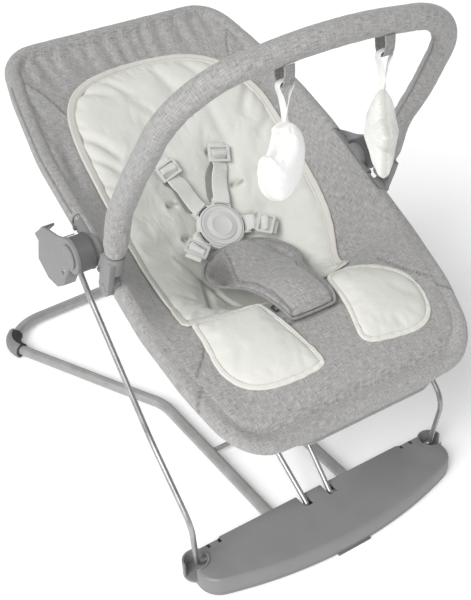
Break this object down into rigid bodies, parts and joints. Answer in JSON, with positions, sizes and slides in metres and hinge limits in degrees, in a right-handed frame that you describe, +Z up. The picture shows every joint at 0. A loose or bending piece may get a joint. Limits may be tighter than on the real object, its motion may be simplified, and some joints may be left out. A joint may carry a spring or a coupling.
{
  "type": "bouncer seat",
  "caption": "Grey fabric baby bouncer on sprung wire legs, with reclining seat, five-point harness, off-white insert and a padded toy bar with hanging plush toys.",
  "frame": {"origin": "on the floor under the middle of the bounding box", "axes": "+Z up, -Y towards the foot end and the front base, +X to the seated child's left; the YZ plane is the mirror plane of the frame"},
  "size_m": [0.4932, 0.8256, 0.7433],
  "materials": {
    "base_plastic": "matte",
    "tray_plastic": "matte",
    "screw_steel": "satin",
    "pad_rubber": "matte",
    "floor_paint": "satin",
    "rear_rubber": "matte",
    "clip_plastic": "matte",
    "wire_steel": "gloss",
    "bumper_rubber": "matte",
    "collar_plastic": "matte",
    "lever_plastic": "matte",
    "pin_steel": "satin",
    "cap_plastic": "matte",
    "seat_paint": "satin",
    "hub_plastic": "matte",
    "clamp_plastic": "matte",
    "seat_weave": "woven",
    "pad_cloth": "woven",
    "buckle_plastic": "satin",
    "slide_plastic": "satin",
    "webbing": "ribbed",
    "bar_tube": "satin",
    "bar_weave": "woven",
    "tab_weave": "woven",
    "ribbon": "satin",
    "plush": "fleece"
  },
  "bodies": {
    "base": {"base_top_cover": "base_plastic", "base_tray": "tray_plastic", "tray_screws": "screw_steel", "front_pads": "pad_rubber", "floor_tube": "floor_paint", "cross_bar": "floor_paint", "rear_pad_left": "rear_rubber", "rear_pad_right": "rear_rubber", "rear_clip_left": "clip_plastic", "rear_clip_right": "clip_plastic"},
    "legs": {"leg_wire_left": "wire_steel", "leg_wire_right": "wire_steel", "leg_shaft_left": "wire_steel", "leg_shaft_right": "wire_steel", "brace_wire": "wire_steel", "brace_bumper": "bumper_rubber", "hub_collar_left": "collar_plastic", "hub_collar_right": "collar_plastic"},
    "lever_left": {"recline_lever_left": "lever_plastic"},
    "lever_right": {"recline_lever_right": "lever_plastic"},
    "toy_bar": {"toy_bar_core": "bar_tube", "toy_bar_sleeve": "bar_weave", "bar_socket_left": "clamp_plastic", "bar_socket_right": "clamp_plastic", "toy_tab_left": "tab_weave", "toy_tab_right": "tab_weave"},
    "moon": {"toy_ribbon_left": "ribbon", "toy_moon": "plush"},
    "star": {"toy_ribbon_right": "ribbon", "toy_star": "plush"},
    "button": {"buckle_button": "buckle_plastic"},
    "seat": {"hub_pin_left": "pin_steel", "hub_pin_right": "pin_steel", "hub_cap_left": "cap_plastic", "hub_cap_right": "cap_plastic", "seat_tube_upper": "seat_paint", "seat_tube_lower": "seat_paint", "hub_inner_left": "hub_plastic", "hub_inner_right": "hub_plastic", "bar_clamp_left": "clamp_plastic", "bar_clamp_right": "clamp_plastic", "frame_screws": "screw_steel", "seat_fabric": "seat_weave", "seat_sleeve_upper": "seat_weave", "seat_sleeve_lower": "seat_weave", "seat_insert": "pad_cloth", "thigh_flap_left": "pad_cloth", "thigh_flap_right": "pad_cloth", "crotch_pad": "seat_weave", "buckle_body": "buckle_plastic", "adjuster_shoulder_left": "slide_plastic", "adjuster_shoulder_right": "slide_plastic", "adjuster_waist_left": "slide_plastic", "adjuster_waist_right": "slide_plastic", "shoulder_strap_left": "webbing", "shoulder_strap_right": "webbing", "waist_strap_left": "webbing", "waist_strap_right": "webbing", "crotch_strap": "webbing"}
  },
  "joints": [
    {"name": "bounce", "type": "hinge", "parent": "base", "child": "legs", "pos_m": [0, -0.305, 0.0256], "axis": [1, 0, 0], "range_deg": [-4, 4], "stiffness_Nm_per_rad": 260, "springref_deg": 1.15},
    {"name": "recline", "type": "hinge", "parent": "legs", "child": "seat", "pos_m": [0, -0.107, 0.432], "axis": [1, 0, 0], "range_deg": [-18, 8]},
    {"name": "lever_left_pull", "type": "hinge", "parent": "legs", "child": "lever_left", "pos_m": [-0.24, -0.107, 0.432], "axis": [1, 0, 0], "range_deg": [0, 12], "stiffness_Nm_per_rad": 0.4, "springref_deg": -11.46},
    {"name": "lever_right_pull", "type": "hinge", "parent": "legs", "child": "lever_right", "pos_m": [0.24, -0.107, 0.432], "axis": [1, 0, 0], "range_deg": [0, 12], "stiffness_Nm_per_rad": 0.4, "springref_deg": -11.46},
    {"name": "bar_swing", "type": "hinge", "parent": "seat", "child": "toy_bar", "pos_m": [0, -0.158, 0.4045], "axis": [1, 0, 0], "range_deg": [-30, 25]},
    {"name": "moon_swing", "type": "hinge", "parent": "toy_bar", "child": "moon", "pos_m": [-0.067, -0.338, 0.6925], "axis": [1, 0, 0], "range_deg": [-35, 35]},
    {"name": "star_swing", "type": "hinge", "parent": "toy_bar", "child": "star", "pos_m": [0.067, -0.338, 0.6925], "axis": [1, 0, 0], "range_deg": [-35, 35]},
    {"name": "release_press", "type": "slide", "parent": "seat", "child": "button", "axis": [0, -0.6157, 0.788], "range_m": [-0.0022, 0], "stiffness_N_per_m": 500, "springref_m": 0.002}
  ]
}
